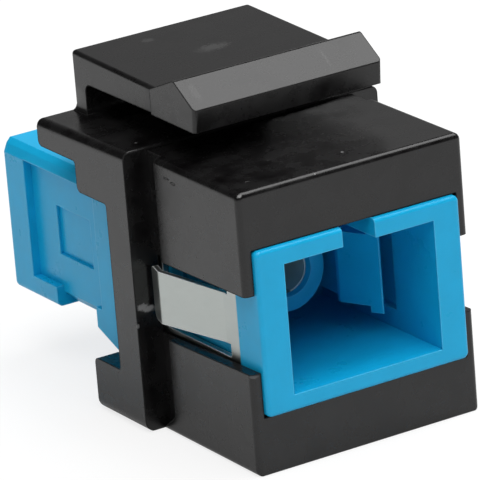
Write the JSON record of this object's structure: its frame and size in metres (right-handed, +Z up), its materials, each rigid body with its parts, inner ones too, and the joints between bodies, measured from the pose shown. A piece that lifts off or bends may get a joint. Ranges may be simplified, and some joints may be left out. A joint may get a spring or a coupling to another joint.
{
  "type": "sc fibre adapter",
  "caption": "Keystone snap-in housing with a sprung latch arm, holding a through coupling that joins plugs pushed in from the front and the rear.",
  "frame": {"origin": "on the surface that the part stands on, under the middle of the coupling and midway between the two port faces", "axes": "+X to the right of the front port, +Y from the front port to the rear port, +Z up towards the latch arm"},
  "size_m": [0.0166, 0.0272, 0.0205],
  "materials": {
    "black_plastic": "satin",
    "blue_plastic": "semi-gloss",
    "white_ceramic": "ground smooth",
    "spring_steel": "satin"
  },
  "bodies": {
    "housing": {"keystone_housing": "black_plastic", "front_shell": "blue_plastic", "rear_shell": "blue_plastic", "front_hook_holder": "blue_plastic", "rear_hook_holder": "blue_plastic", "alignment_sleeve": "white_ceramic", "spring_clip": "spring_steel"},
    "latch": {"latch_arm": "black_plastic"}
  },
  "joints": [
    {"name": "latch_press", "type": "hinge", "parent": "housing", "child": "latch", "pos_m": [0, 0.00505, 0.0162], "axis": [1, 0, 0], "range_deg": [0, 7.5], "stiffness_Nm_per_rad": 0.9}
  ]
}
